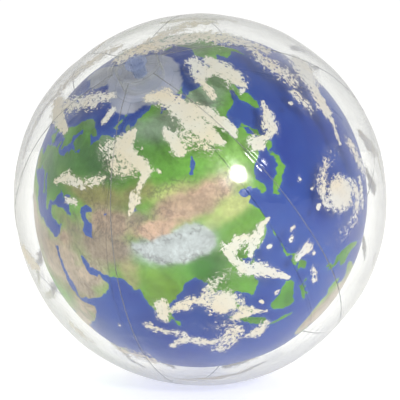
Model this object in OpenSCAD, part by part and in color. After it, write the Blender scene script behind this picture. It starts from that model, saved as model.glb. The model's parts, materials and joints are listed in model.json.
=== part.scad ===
// Inflatable ball-in-ball globe: a clear outer ball welded from six film gores, with a
// printed inner globe held concentric inside it by two short necks on one tilted axis.
// Each ball has its own push-in inflation valve. The ball rests on a small flattened patch.

/* [Balls] */
// Diameter of the clear outer ball when inflated
outer_d = 400; // [300:5:600]
// Air gap between the outer film and the inner globe
gap = 20; // [19:0.5:30]
// Thickness of the vinyl film
film_t = 0.4; // [0.3:0.05:0.6]
// How far the ball's weight flattens its lowest point
flat_depth = 1; // [0.8:0.1:2]

/* [Polar axis] */
// Tilt of the polar axis from the vertical
axis_tilt = 46; // [35:1:70]
// Heading of the polar axis, counted from +X
axis_turn = 245; // [0:5:355]
// Turn of the outer ball's first seam about the polar axis
outer_seam_turn = 1.5; // [-30:0.5:30]
// Turn of the inner globe's first seam about the polar axis
inner_seam_turn = -6; // [-30:0.5:30]

/* [Polar discs and necks] */
// Diameter of the discs that close the gores at both ends
disc_d = 60; // [60:1:80]
// Width of the weld where a disc laps over the gores
weld_lap = 5; // [3:0.5:6]
// Diameter of the necks that join the two balls
neck_d = 44; // [36:1:44]
// Diameter of the vents in the near neck
vent_d = 8; // [5:0.5:10]
// Number of vents in the near neck
vent_count = 4; // [3:1:6]

/* [Valves] */
// Diameter of the valve's welded flange
flange_d = 22; // [20:0.5:26]
// Thickness of the valve's welded flange
flange_t = 0.8; // [0.6:0.1:1.2]
// Outer diameter of the sleeve that the stem slides in
sleeve_d = 14; // [13:0.5:15]
// Depth of the sleeve below the film
sleeve_depth = 13; // [12.5:0.25:14]
// Outer diameter of the valve stem
stem_d = 9.2; // [8.8:0.1:9.6]
// Diameter of the air bore through the stem
bore_d = 4.4; // [4:0.1:4.6]
// Turn of the near valve's strap about the polar axis
near_strap_turn = 90; // [0:5:355]
// Turn of the far valve's strap about the polar axis
far_strap_turn = 0; // [0:5:355]

/* [Hidden] */
$fn = 128;

gore_count = 6;
gore_angle = 360 / gore_count;
outer_r = outer_d / 2;
inner_r = outer_r - gap;
centre_z = outer_r - flat_depth;
disc_r = disc_d / 2;
gore_mouth_r = disc_r - weld_lap;
neck_r = neck_d / 2;

skin_top = outer_r + film_t;              // outer face of a polar disc, on the axis
flange_top = skin_top + flange_t;
bead_r = 0.8;                             // raised bead round the flange's rim
bead_inset = 0.3;
seat_gap = 0.03;                          // weld line under a flange
weld_gap = 0.05;                          // the glue line round a sleeve
slide_fit = 0.05;                         // radial clearance of the sliding stem
lip_fit = 0.1;                            // radial clearance where the stem leaves the sleeve
sleeve_wall = 0.7;
sleeve_bore_r = sleeve_d / 2 - sleeve_wall;
stem_top = flange_top + 1;
stem_bottom = outer_r - sleeve_depth + 0.6;
collar_t = 1.6;
stopper_depth = 2.5;
stopper_top_r = 3;
stopper_tip_r = bore_d / 2;
seat_fit = 0.05;
cap_t = 0.95;
cap_gap = 0.05;                           // under the closed cap
cap_rim_r = 0.35;                         // thumb rim on the cap
cap_rim_inset = 0.9;
hinge_x = 7.6;                            // strap hinge, beside the stem
knuckle_r = 0.6;
knuckle_fit = 0.05;
lug_w = 4.4;
lug_t = 0.85;
strap_w = 3.2;
strap_t = 0.35;
strap_rise = 0.15;                        // underside of the strap above the stem's mouth
strap_joint = 0.03;                       // seam where the strap meets the cap
flap_r = 4.2;
flap_t = 0.3;
flap_hinge_x = -4.65;
flap_knuckle_r = 0.15;
flap_hinge_w = 3;
flap_gap = 0.05;                          // between the stem's foot and the closed flap
cut_over = 1;                             // how far a cutting shape runs past what it cuts

// Places a child drawn along +Z on the polar axis, at the ball's centre
module on_near_axis() {
    translate([0, 0, centre_z]) rotate([0, axis_tilt, axis_turn]) children();
}

// The same, pointing out of the opposite pole
module on_far_axis() {
    on_near_axis() rotate([180, 0, 0]) children();
}

// The part of a child that is above height z
module above(z) {
    intersection() {
        children();
        translate([-outer_d, -outer_d, z]) cube([2 * outer_d, 2 * outer_d, 2 * outer_d]);
    }
}

// Solid wedge of a ball of radius r between two meridians, open round the polar axis
module lune(r, from, angle, mouth_r) {
    on_near_axis() rotate(from) rotate_extrude(angle = angle) intersection() {
        circle(r);
        translate([mouth_r, -r]) square([r, 2 * r]);
    }
}

// One gore of a ball of radius r: film between two seams, flattened where the ball rests
module gore(r, first_seam, index) {
    from = first_seam + gore_angle * index;
    difference() {
        above(0) lune(r, from, gore_angle, gore_mouth_r);
        above(film_t) lune(r - film_t, from - cut_over, gore_angle + 2 * cut_over, gore_mouth_r - cut_over);
    }
}

// Disc of film that laps over the gores' ends, with an opening of radius hole_r
module polar_disc(r, hole_r) {
    difference() {
        intersection() {
            sphere(r + film_t);
            translate([0, 0, r / 2]) cylinder(r = disc_r, h = r);
        }
        sphere(r);
        if (hole_r > 0) cylinder(r = hole_r, h = 2 * r);
    }
}

// Film tube between the inner and the outer disc
module neck(vents) {
    difference() {
        intersection() {
            cylinder(r = neck_r, h = outer_r);
            sphere(outer_r);
        }
        cylinder(r = neck_r - film_t, h = 2 * outer_r);
        sphere(inner_r + film_t);
        for (i = [0 : 1 : vents - 1])
            rotate(i * 360 / vents)
                translate([0, 0, outer_r - gap / 2])
                    rotate([0, 90, 0]) cylinder(d = vent_d, h = 2 * neck_r);
    }
}

// Height of the polar disc's outer face at radius x from the axis
function skin_height(x) = sqrt(skin_top * skin_top - x * x) + seat_gap;

// Welded flange with a rim bead, and the sleeve that guides the stem
module valve_flange() {
    lip_bore_r = stem_d / 2 + lip_fit;
    flange_r = flange_d / 2;
    rotate_extrude() union() {
        polygon([[lip_bore_r, flange_top], [lip_bore_r, skin_height(lip_bore_r)],
                 [flange_r, skin_height(flange_r)], [flange_r, flange_top]]);
        translate([flange_r - bead_r - bead_inset, flange_top]) circle(bead_r);
        translate([sleeve_bore_r, outer_r - sleeve_depth])
            square([sleeve_wall, sleeve_depth + film_t + seat_gap]);
    }
}

// Sliding stem: an air tube with a collar at its foot and the strap's lug at its mouth
module valve_stem() {
    difference() {
        union() {
            translate([0, 0, stem_bottom]) cylinder(d = stem_d, h = stem_top - stem_bottom);
            translate([0, 0, stem_bottom]) cylinder(r = sleeve_bore_r - slide_fit, h = collar_t);
            translate([0, -lug_w / 2, stem_top - lug_t]) cube([hinge_x, lug_w, lug_t]);
        }
        translate([0, 0, stem_bottom - cut_over])
            cylinder(d = bore_d, h = stem_top - stem_bottom + 2 * cut_over);
        translate([0, 0, stem_top - stopper_depth - seat_fit])
            cylinder(r1 = stopper_tip_r + seat_fit, r2 = stopper_top_r + seat_fit,
                     h = stopper_depth + seat_fit + 0.001);
        translate([hinge_x, 0, stem_top]) rotate([90, 0, 0])
            cylinder(r = knuckle_r + knuckle_fit, h = 2 * lug_w, center = true);
    }
}

// Thin flap that closes the stem's foot against the air inside
module check_flap() {
    flap_top = stem_bottom - flap_gap;
    translate([0, 0, flap_top - flap_t]) cylinder(r = flap_r, h = flap_t);
    translate([flap_hinge_x, -flap_hinge_w / 2, flap_top - flap_t]) cube([1, flap_hinge_w, flap_t]);
    translate([flap_hinge_x, 0, flap_top - flap_t / 2]) rotate([90, 0, 0])
        cylinder(r = flap_knuckle_r, h = flap_hinge_w, center = true);
}

// Tapered stopper under a flat cap with a thumb rim
module plug() {
    translate([0, 0, stem_top - stopper_depth])
        cylinder(r1 = stopper_tip_r, r2 = stopper_top_r, h = stopper_depth + 2 * cap_gap);
    translate([0, 0, stem_top + cap_gap]) cylinder(d = stem_d, h = cap_t);
    translate([0, 0, stem_top + cap_t])
        rotate_extrude() translate([stem_d / 2 - cap_rim_inset, 0]) circle(cap_rim_r);
}

// Strap from the cap to its knuckle in the stem's lug
module plug_strap() {
    translate([hinge_x, 0, stem_top]) rotate([90, 0, 0])
        cylinder(r = knuckle_r, h = lug_w, center = true);
    difference() {
        translate([0, -strap_w / 2, stem_top + strap_rise]) cube([hinge_x, strap_w, strap_t]);
        translate([0, 0, stem_top]) cylinder(r = stem_d / 2 + strap_joint, h = stem_d);
    }
}

module outer_gore(index) {
    color([0.86, 0.88, 0.85, 0.45]) gore(outer_r, outer_seam_turn, index);
}

module inner_gore(index) {
    color(index % 2 == 0 ? [0.17, 0.29, 0.58] : [0.24, 0.5, 0.3]) gore(inner_r, inner_seam_turn, index);
}

module outer_near_disc() {
    color([0.78, 0.82, 0.86, 0.6]) on_near_axis() polar_disc(outer_r, sleeve_d / 2 + weld_gap);
}

module outer_far_disc() {
    color([0.78, 0.82, 0.86, 0.6]) on_far_axis() polar_disc(outer_r, sleeve_d / 2 + weld_gap);
}

module inner_near_disc() {
    color([0.62, 0.64, 0.72]) on_near_axis() polar_disc(inner_r, 0);
}

module inner_far_disc() {
    color([0.85, 0.87, 0.9]) on_far_axis() polar_disc(inner_r, neck_r - film_t);
}

module near_neck() {
    color([0.8, 0.84, 0.86, 0.5]) on_near_axis() neck(vent_count);
}

module far_neck() {
    color([0.8, 0.84, 0.86, 0.5]) on_far_axis() neck(0);
}

module outer_valve_flange() {
    color([0.75, 0.8, 0.85, 0.8]) on_near_axis() rotate(near_strap_turn) valve_flange();
}

module outer_valve_stem() {
    color([0.7, 0.76, 0.84, 0.8]) on_near_axis() rotate(near_strap_turn) valve_stem();
}

module outer_check_flap() {
    color([0.8, 0.84, 0.86, 0.8]) on_near_axis() rotate(near_strap_turn) check_flap();
}

module outer_plug() {
    color([0.65, 0.72, 0.82, 0.8]) on_near_axis() rotate(near_strap_turn) plug();
}

module outer_plug_strap() {
    color([0.65, 0.72, 0.82, 0.8]) on_near_axis() rotate(near_strap_turn) plug_strap();
}

module inner_valve_flange() {
    color([0.75, 0.8, 0.85, 0.8]) on_far_axis() rotate(far_strap_turn) valve_flange();
}

module inner_valve_stem() {
    color([0.7, 0.76, 0.84, 0.8]) on_far_axis() rotate(far_strap_turn) valve_stem();
}

module inner_check_flap() {
    color([0.8, 0.84, 0.86, 0.8]) on_far_axis() rotate(far_strap_turn) check_flap();
}

module inner_plug() {
    color([0.65, 0.72, 0.82, 0.8]) on_far_axis() rotate(far_strap_turn) plug();
}

module inner_plug_strap() {
    color([0.65, 0.72, 0.82, 0.8]) on_far_axis() rotate(far_strap_turn) plug_strap();
}

for (i = [0 : gore_count - 1]) {
    outer_gore(i);
    inner_gore(i);
}
outer_near_disc();
outer_far_disc();
inner_near_disc();
inner_far_disc();
near_neck();
far_neck();
outer_valve_flange();
outer_valve_stem();
outer_check_flap();
outer_plug();
outer_plug_strap();
inner_valve_flange();
inner_valve_stem();
inner_check_flap();
inner_plug();
inner_plug_strap();
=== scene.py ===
"""Looks of the inflatable ball-in-ball globe: a clear, cloud-printed outer ball round a printed
inner globe. Everything is in metres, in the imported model's frame."""

import itertools
import json
import math

import bpy
import numpy as np
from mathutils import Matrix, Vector

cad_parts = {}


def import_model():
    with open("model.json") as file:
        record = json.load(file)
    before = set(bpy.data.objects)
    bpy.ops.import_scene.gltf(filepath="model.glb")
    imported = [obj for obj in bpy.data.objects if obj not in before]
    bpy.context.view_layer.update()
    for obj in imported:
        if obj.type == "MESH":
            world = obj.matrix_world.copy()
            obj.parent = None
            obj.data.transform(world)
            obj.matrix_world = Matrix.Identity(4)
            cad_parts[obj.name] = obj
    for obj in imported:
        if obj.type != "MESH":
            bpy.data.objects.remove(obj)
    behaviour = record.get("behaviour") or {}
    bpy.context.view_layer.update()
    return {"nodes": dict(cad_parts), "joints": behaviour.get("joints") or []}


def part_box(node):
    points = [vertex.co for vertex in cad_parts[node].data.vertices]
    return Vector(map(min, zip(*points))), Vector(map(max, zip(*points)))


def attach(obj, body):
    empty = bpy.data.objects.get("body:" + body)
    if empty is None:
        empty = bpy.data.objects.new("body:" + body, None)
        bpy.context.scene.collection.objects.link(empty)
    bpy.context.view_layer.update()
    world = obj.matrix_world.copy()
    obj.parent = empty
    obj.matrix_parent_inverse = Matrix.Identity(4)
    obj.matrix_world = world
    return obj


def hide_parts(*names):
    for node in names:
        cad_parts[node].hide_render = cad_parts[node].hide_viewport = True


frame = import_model()

MM = 0.001
GORES = 6

# ---------------------------------------------------------------- places, worked out from the frame


def joint(name):
    """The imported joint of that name."""
    return next(j for j in frame["joints"] if j["name"] == name)


def overall_box(names):
    """Lowest and highest corner of several CAD nodes together."""
    corners = [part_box(n) for n in names]
    low = np.min([c[0] for c in corners], axis=0)
    high = np.max([c[1] for c in corners], axis=0)
    return low, high


outer_names = [f"outer_gore_{i + 1}" for i in range(GORES)]
inner_names = [f"inner_gore_{i + 1}" for i in range(GORES)]
outer_low, outer_high = overall_box(outer_names)
inner_low, inner_high = overall_box(inner_names)
OUTER_R = (outer_high[0] - outer_low[0]) / 2
INNER_R = (inner_high[0] - inner_low[0]) / 2
CENTRE = np.array([0.0, 0.0, outer_high[2] - OUTER_R])
POLE = np.array(joint("outer_valve_push")["axis"])
AXIS_TILT = math.acos(POLE[2])
AXIS_TURN = math.atan2(POLE[1], POLE[0])

DISC_R = 30 * MM  # polar discs, as in the CAD model
WELD_LAP = 5 * MM
NECK_R = 22 * MM
SLEEVE_R = 7 * MM
FILM = 0.4 * MM
LOOKS_FILM = 0.3 * MM  # thickness of the film meshes, kept inside the CAD's
OUTER_SEAM_TURN = math.radians(1.5)
INNER_SEAM_TURN = math.radians(-6)

# Tilt, turn and spin of the two prints in degrees, each a little off the gores' axis as on real film
MAP_TURNS = (45.7, 243.7, -66.2)
CLOUD_TURNS = (43.9, 241.5, -65.1)


def turn_y(angle):
    c, s = math.cos(angle), math.sin(angle)
    return np.array([[c, 0, s], [0, 1, 0], [-s, 0, c]])


def turn_z(angle):
    c, s = math.cos(angle), math.sin(angle)
    return np.array([[c, -s, 0], [s, c, 0], [0, 0, 1]])


BALL_TO_ROW = turn_z(AXIS_TURN) @ turn_y(AXIS_TILT)


def print_to_row(turns):
    """Matrix from a print's own directions to the row frame."""
    tilt, turn, spin = np.radians(turns)
    return turn_z(turn) @ turn_y(tilt) @ turn_z(spin)


MAP_TO_ROW = print_to_row(MAP_TURNS)
CLOUDS_TO_ROW = print_to_row(CLOUD_TURNS)


def sphere_points(lon, lat):
    """Unit vectors of longitudes and latitudes in degrees."""
    lon, lat = np.radians(lon), np.radians(lat)
    return np.stack([np.cos(lat) * np.cos(lon), np.cos(lat) * np.sin(lon), np.sin(lat)], -1)


def lon_lat(points):
    """Longitudes and latitudes in degrees of unit vectors."""
    lon = np.degrees(np.arctan2(points[:, 1], points[:, 0]))
    return lon, np.degrees(np.arcsin(points[:, 2].clip(-1, 1)))


def wrap(degrees):
    """Angles brought into -180 to 180 degrees."""
    return (degrees + 180) % 360 - 180


def smooth(low, high, value):
    """Smooth step from 0 at low to 1 at high."""
    t = ((value - low) / (high - low)).clip(0, 1)
    return t * t * (3 - 2 * t)


# ---------------------------------------------------------------- repeatable noise on vertices


def lattice(cells, seed):
    """A repeatable number from 0 to 1 for each whole-number cell."""
    n = cells.astype(np.int64)
    h = (n[:, 0] * 374761393 + n[:, 1] * 668265263 + n[:, 2] * 2147483647 + seed * 974634777) & 0xFFFFFFFF
    h = ((h ^ (h >> 13)) * 1274126177) & 0xFFFFFFFF
    return ((h ^ (h >> 16)) & 0xFFFF) / 65535.0


def value_noise(points, seed):
    """Smooth noise from 0 to 1 with features one unit across."""
    base = np.floor(points)
    part = points - base
    part = part * part * (3 - 2 * part)
    total = np.zeros(len(points))
    for corner in itertools.product((0, 1), repeat=3):
        weight = np.prod(np.where(corner, part, 1 - part), axis=1)
        total += weight * lattice(base + corner, seed)
    return total


def fbm(points, octaves, seed):
    """Sum of noises at doubling scales, from about -1 to 1."""
    total, size = np.zeros(len(points)), 0.0
    for k in range(octaves):
        total += 0.5**k * (2 * value_noise(points * 2.03**k, seed + 17 * k) - 1)
        size += 0.5**k
    return total / size * 1.6


# ---------------------------------------------------------------- the world map, in degrees

LAND = {
    "eurasia": [
        (25, 71), (31, 70), (41, 67), (34, 66.5), (38, 64.5), (44, 66.5), (44, 68.5), (54, 68.5),
        (60, 69.5), (68, 68.5), (67, 71.5), (70, 73), (73, 71.5), (73, 68), (75, 72), (81, 73.5),
        (87, 75), (98, 76.5), (104, 77.7), (113, 76), (107, 73.5), (113, 73.7), (124, 73.7),
        (130, 71), (133, 71.7), (140, 72.5), (150, 71.5), (160, 69.7), (170, 70), (176, 69.8),
        (181, 69), (190, 66), (183, 64.5), (178, 62.5), (172, 60.5), (165, 60), (163, 58),
        (162.5, 56), (160, 53), (156.7, 51), (155.6, 55), (157, 58), (163, 61.5), (160, 61.8),
        (155, 59.3), (148, 59.3), (142, 59), (136, 55), (137.5, 53.8), (141, 53), (140.5, 50),
        (140, 47.5), (136, 44), (132, 43), (130.6, 42.3), (127.5, 39.7), (129.4, 37), (129, 35.3),
        (126.4, 34.5), (126.6, 37.5), (124.8, 38), (125, 39.6), (121.5, 39), (122, 40.6), (118, 39),
        (118.9, 37.4), (122.4, 37), (119.3, 35), (121, 32.5), (121.8, 30.9), (121.5, 28.5),
        (119.5, 25.5), (117, 23.6), (114, 22.3), (110.5, 21.2), (108, 21.7), (106, 19), (108.8, 15.3),
        (109.3, 12), (106.8, 10.4), (104.8, 8.6), (105, 10.5), (102.5, 12), (101, 13.4), (99.8, 11.5),
        (100.2, 8.3), (103.4, 4.5), (104, 1.3), (101, 3), (100.3, 6), (98.3, 8), (98.5, 12),
        (97.6, 16), (94.4, 16), (94, 19.5), (91.8, 22.3), (88, 21.7), (86.5, 20), (82.3, 16.7),
        (80.2, 15), (80, 12), (79, 9.5), (77.6, 8.1), (76, 11), (74, 15.5), (72.8, 19), (72.6, 21.5),
        (70, 21), (69, 22.5), (67, 24.8), (62, 25.2), (57.3, 25.8), (56.5, 27), (54, 26.6),
        (51.5, 28), (49, 30.2), (48, 29.8), (50, 26.5), (51.3, 25.5), (51.6, 24.2), (54.5, 24.1),
        (56.3, 26.2), (57, 23.9), (59.8, 22.4), (57.8, 19), (55, 17), (52, 15.6), (45, 12.8),
        (43.4, 12.7), (42.7, 16.5), (39.2, 21), (37, 25), (35, 28.5), (34.3, 27.8), (32.5, 29.9),
        (32.3, 31.2), (34.3, 31.3), (35.8, 35), (36, 36.8), (33, 36.1), (30.5, 36.5), (27.3, 37),
        (26.3, 39.3), (29, 41), (31.5, 41.3), (35, 42), (38.5, 41), (41.5, 41.5), (38, 44.5),
        (36.5, 45.3), (39, 47), (35, 46.3), (33.5, 44.5), (33, 46), (30.8, 46.5), (28.6, 43.8),
        (28, 42), (26, 40.8), (23.8, 40.3), (24, 38), (22.8, 36.5), (21.3, 37.5), (19.4, 41),
        (16, 43.5), (13.7, 45.5), (12.4, 44.5), (14, 42.5), (16, 41.8), (18.4, 40), (16.8, 40.4),
        (16, 38), (15.6, 40), (12.3, 41.8), (10.3, 43.5), (8.8, 44.4), (6.5, 43.1), (3.2, 43),
        (3.2, 41.8), (0, 39.8), (0, 38.7), (-0.8, 37.6), (-2.2, 36.8), (-5.6, 36), (-8.9, 37),
        (-9.4, 38.8), (-8.8, 43.2), (-1.8, 43.4), (-1.2, 46), (-4.6, 48.3), (-1.5, 48.7), (0, 49.5),
        (2.5, 51), (4.5, 52.5), (8.3, 53.7), (8.3, 57), (10.6, 57.7), (10, 54.5), (14, 54),
        (18.5, 54.6), (21, 55.5), (21.5, 57.5), (24.3, 57.3), (24, 59.3), (30, 59.8), (25, 60.3),
        (22, 60.5), (21.5, 63), (25.3, 65), (22, 65.8), (17.5, 62), (18.5, 60), (16.3, 57),
        (14, 55.5), (12, 57.5), (10.6, 59.3), (8, 58), (5.2, 59.5), (5.2, 62), (10.5, 64),
        (14.5, 68), (19, 70),
    ],
    "africa": [
        (-6, 35.8), (-2, 35.2), (3, 36.8), (10, 37.3), (11, 34), (15, 32.3), (20, 31), (20, 32.7),
        (25, 31.6), (30, 31.5), (32.4, 31.2), (32.6, 29.9), (35.5, 24), (37.3, 20.5), (39.5, 15.5),
        (43.2, 12), (43.5, 11.3), (47, 11.2), (51.2, 11.9), (49, 7), (46, 2.5), (42, -1.5),
        (39.3, -5), (40.6, -10.5), (40.5, -15), (35.5, -20), (35.5, -24), (32.8, -27), (30, -31.3),
        (25.8, -34), (20, -34.8), (18.3, -33), (15, -26.5), (12, -18), (13.7, -11), (12, -5.5),
        (9, -1), (9.6, 3.5), (6, 4.3), (3, 6.4), (-2, 4.8), (-7.8, 4.4), (-13.3, 9), (-16.8, 13),
        (-17.4, 14.8), (-16.5, 19.5), (-17, 21), (-14.8, 25.5), (-10, 29), (-9.5, 31), (-6.5, 34),
    ],
    "madagascar": [
        (49.3, -12), (50.4, -15.7), (47.5, -24.8), (45, -25.5), (43.4, -22), (44.4, -16.3), (47, -15),
    ],
    "australia": [
        (142.5, -10.8), (145.3, -15), (146.2, -18.9), (150.5, -23), (153.2, -25), (153.5, -29),
        (151.5, -33), (150, -37.3), (146.4, -39), (143.5, -38.8), (140.5, -38), (138.2, -35.5),
        (137.5, -33), (135.5, -34.8), (131, -31.5), (124, -33), (119.9, -34), (115.2, -34.3),
        (115.6, -31.5), (113.4, -26), (114, -22), (118, -20.3), (122, -18), (123.7, -16.3),
        (127, -14), (130, -14.8), (131, -12), (135.5, -12), (136.8, -12.2), (135.5, -15),
        (139, -17.5), (140.8, -17.4), (141.6, -13.5),
    ],
    "tasmania": [(144.7, -40.8), (148.3, -40.9), (148, -43), (146, -43.5)],
    "new_zealand_north": [
        (172.7, -34.4), (175.5, -37), (178.5, -37.7), (177, -39.5), (175.2, -41.5), (173.8, -39.3),
        (174.6, -37),
    ],
    "new_zealand_south": [
        (172.7, -40.6), (174.2, -41.8), (171, -44.2), (169, -46.6), (166.6, -45.9), (170.5, -43),
    ],
    "new_guinea": [
        (131, -0.8), (134, -0.9), (135, -3.3), (138, -1.7), (144.5, -3.9), (147.5, -6),
        (150.8, -10.4), (147.2, -9.5), (144, -7.7), (141, -9.1), (138.5, -8.2), (138, -5.5),
        (133, -4), (132, -2.8), (133.8, -2.3),
    ],
    "borneo": [
        (109, 1.5), (111.3, 2.5), (113, 3.2), (116.8, 7), (119, 5.2), (117.8, 1), (116.5, -1.5),
        (116, -4), (111.8, -3.4), (110, -1.5), (109, 0.5),
    ],
    "sumatra": [
        (95.3, 5.6), (98.2, 4.3), (100.5, 2.2), (103.8, -1), (106, -3), (105.8, -5.8), (102.3, -4),
        (100.3, -1), (98.6, 1.8),
    ],
    "java": [(105.3, -6.8), (108.5, -6.7), (110.8, -6.4), (114.4, -7.8), (114.3, -8.6), (108, -7.8)],
    "sulawesi": [
        (119.8, 0.8), (123, 0.9), (125, 1.6), (123.5, 0.4), (120.2, 0.4), (121.5, -0.9),
        (123.3, -0.8), (121.8, -2), (123, -4), (122.3, -5.3), (121, -2.8), (120.3, -5.5),
        (119.4, -5.4), (119, -2.7),
    ],
    "mindanao": [(122, 7), (123.5, 8.6), (125.5, 9.8), (126.5, 7.5), (125.5, 5.7), (124, 7.2)],
    "visayas": [(122, 11.8), (124.9, 12.5), (125.4, 11), (123, 9.2), (122, 10.5)],
    "luzon": [
        (120.4, 16.2), (120.7, 18.5), (122.2, 18.4), (121.5, 15.5), (124, 12.7), (123, 13.3),
        (120.6, 14),
    ],
    "taiwan": [(121, 25.1), (121.9, 24.9), (120.8, 22), (120.2, 23)],
    "hainan": [(108.7, 19.2), (110.9, 20), (110, 18.3)],
    "honshu": [
        (129.7, 33.2), (130.9, 34.2), (133, 35.6), (136, 35.8), (136.9, 37.3), (138.5, 37.4),
        (139.9, 39.5), (140.3, 41.1), (141.4, 41.3), (142, 39.5), (141, 38), (140.8, 35.8),
        (138.8, 34.7), (136.8, 34.5), (135.8, 33.5), (134.3, 33.4), (132.9, 32.8), (131.8, 32.6),
        (131.3, 31.3), (130.2, 31.3),
    ],
    "hokkaido": [(140, 41.5), (140.4, 43.2), (141.9, 45.5), (145.3, 43.5), (143.2, 42), (141, 42.5)],
    "sakhalin": [(142, 54.3), (143.2, 52), (144.6, 49), (143, 46.2), (142, 46), (142.2, 50)],
    "sri_lanka": [(79.9, 9.7), (81.8, 7.5), (81, 6), (79.9, 7)],
    "novaya_zemlya": [(52, 71), (56, 73.5), (61, 76), (68.5, 77), (60, 74.5), (57, 71)],
    "svalbard": [(11, 79), (20, 80.3), (27, 80), (17, 76.6)],
    "northern_land": [(95, 79), (96, 81), (105, 79.3), (101, 78)],
    "new_siberian_islands": [(137, 75.5), (147, 75.5), (148, 75), (140, 74)],
    "britain": [
        (-5.7, 50), (1.4, 51.2), (1.7, 52.7), (-1.5, 55), (-2, 57.6), (-4, 58.6), (-6, 57),
        (-4.8, 54.8), (-3, 53.5), (-5, 52),
    ],
    "ireland": [(-10, 52), (-6.2, 52.3), (-5.8, 54.7), (-8.5, 55.3), (-10, 54)],
    "iceland": [(-24, 65.5), (-21.5, 66.3), (-14, 65.5), (-18.5, 63.4), (-22.5, 64)],
    "greenland": [
        (-73, 78.3), (-60, 82), (-33, 83.5), (-18, 80), (-20, 75), (-23, 70.5), (-38, 65.7),
        (-43, 60), (-49, 62), (-53, 67), (-54, 71), (-60, 76),
    ],
    "north_america": [
        (-168, 65.7), (-166, 68.5), (-156.5, 71.3), (-141, 69.7), (-128, 70.3), (-115, 68.5),
        (-108, 68), (-95, 68), (-94, 71.8), (-90, 69), (-85, 69.5), (-82, 68), (-87, 64.5),
        (-94.5, 60), (-93, 58.5), (-88, 56.5), (-82.3, 55), (-80, 51.3), (-79, 54.5), (-77, 57),
        (-78, 62.4), (-70, 61), (-65, 59), (-61.5, 56.5), (-56, 52.5), (-60, 50), (-66, 50.2),
        (-65, 48), (-65, 45.5), (-70.5, 43.3), (-70, 41.7), (-74, 40.6), (-76, 37), (-75.6, 35.3),
        (-81, 31.7), (-80, 26), (-81, 25.2), (-82.8, 28.5), (-85, 29.8), (-90, 29.2), (-94.5, 29.5),
        (-97.4, 27), (-97.6, 22.5), (-95, 18.6), (-91, 18.6), (-90, 21.2), (-87, 21.4), (-88, 16),
        (-83.3, 15), (-83.5, 10.8), (-80, 9.2), (-77.3, 8.5), (-80, 7.5), (-83.5, 8.5),
        (-87.5, 12.8), (-94, 16.2), (-101.5, 17.5), (-105.5, 20.3), (-109.3, 25.5), (-113, 31),
        (-114.7, 31.5), (-110, 23.2), (-115, 28.5), (-117.3, 32.8), (-120.6, 34.6), (-124, 40),
        (-124.4, 47), (-128, 51), (-134, 58), (-140, 59.8), (-146, 60.8), (-152, 59.2),
        (-157, 56.6), (-164.5, 54.6), (-158, 58.5), (-162, 59.5), (-166, 61.8), (-161, 64.3),
    ],
    "baffin": [
        (-62, 66.5), (-68, 70), (-78, 73), (-89, 73.5), (-88, 71), (-78, 69.5), (-73, 67.5),
        (-77.5, 65), (-72, 62.3), (-65, 63),
    ],
    "victoria": [(-117, 72.5), (-105, 73), (-105, 69), (-116, 69.3)],
    "banks": [(-125, 71.5), (-121, 74.3), (-115.5, 73.5), (-122, 71.2)],
    "ellesmere": [(-90, 77), (-90, 81), (-70, 83), (-62, 82.3), (-75, 78.5), (-80, 76.2)],
    "devon": [(-95, 75), (-80, 74.7), (-80, 76), (-95, 76.8)],
    "newfoundland": [(-59, 47.8), (-55.7, 51.5), (-53, 47)],
    "cuba": [(-84.8, 22), (-80, 23), (-74.3, 20.2), (-78, 20.8)],
    "hispaniola": [(-74, 18.6), (-72.5, 19.9), (-68.5, 18.6), (-71, 17.8)],
    "south_america": [
        (-77.3, 8.5), (-71.7, 12.2), (-62, 10.6), (-52, 4.8), (-50, 0.5), (-44, -2.7),
        (-35.3, -5.3), (-35, -9), (-39, -13.5), (-39.3, -18), (-42, -22.8), (-48.5, -26),
        (-53.5, -33.5), (-57, -36.5), (-62.3, -39), (-65, -42), (-67.5, -46), (-69, -51),
        (-65.5, -55), (-71.5, -53.5), (-75.5, -50), (-73, -42), (-73.5, -37), (-71.5, -30),
        (-70.2, -19), (-76.3, -13.7), (-79.7, -8), (-81.2, -4.7), (-80, -2.5), (-80, 0.5),
        (-77.3, 4), (-77.5, 7),
    ],
    "antarctica": [
        (-180, -78), (-158, -77.5), (-135, -74.5), (-110, -74.5), (-100, -72.5), (-75, -73),
        (-68, -68), (-58, -63.5), (-61, -67), (-62, -74), (-40, -78), (-25, -74.5), (-10, -71),
        (10, -70), (35, -69), (55, -66.5), (70, -69), (80, -67.5), (100, -65.8), (115, -66.5),
        (130, -66), (145, -67), (160, -70), (170, -72), (165, -77.5), (180, -78), (180, -90),
        (-180, -90),
    ],
}

LAKES = {
    "caspian": [
        (47, 45), (50, 46.8), (53, 46.5), (53.2, 45), (51, 44.5), (50.3, 43), (52.8, 41.5),
        (53.8, 39), (53.8, 37), (50, 37.4), (49, 39), (49.5, 40.5), (47.5, 43),
    ],
    "aral": [(58.5, 44.5), (61.5, 46.5), (60, 44)],
    "balkhash": [(74, 46.2), (79, 46.8), (75, 45.2)],
    "baikal": [(103.4, 51.3), (106, 52.4), (109.4, 56), (110, 55.4), (108.8, 53.2), (105.8, 51.3)],
    "ladoga": [(30, 60), (31.5, 61.6), (33, 60.3)],
    "victoria": [(31.8, 0.2), (34, 0.3), (33.5, -2.4), (31.8, -2.5)],
    "superior": [(-92, 46.8), (-87, 48.6), (-84.8, 46.6), (-88, 46.8)],
    "michigan": [(-87.8, 42), (-87.5, 45), (-85, 45.8), (-86.3, 43)],
    "huron": [(-84, 45.8), (-80.2, 45.2), (-82, 43.2), (-83.4, 44.6)],
    "great_bear": [(-123, 66.6), (-118, 66.2), (-120, 65.4)],
}


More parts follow.
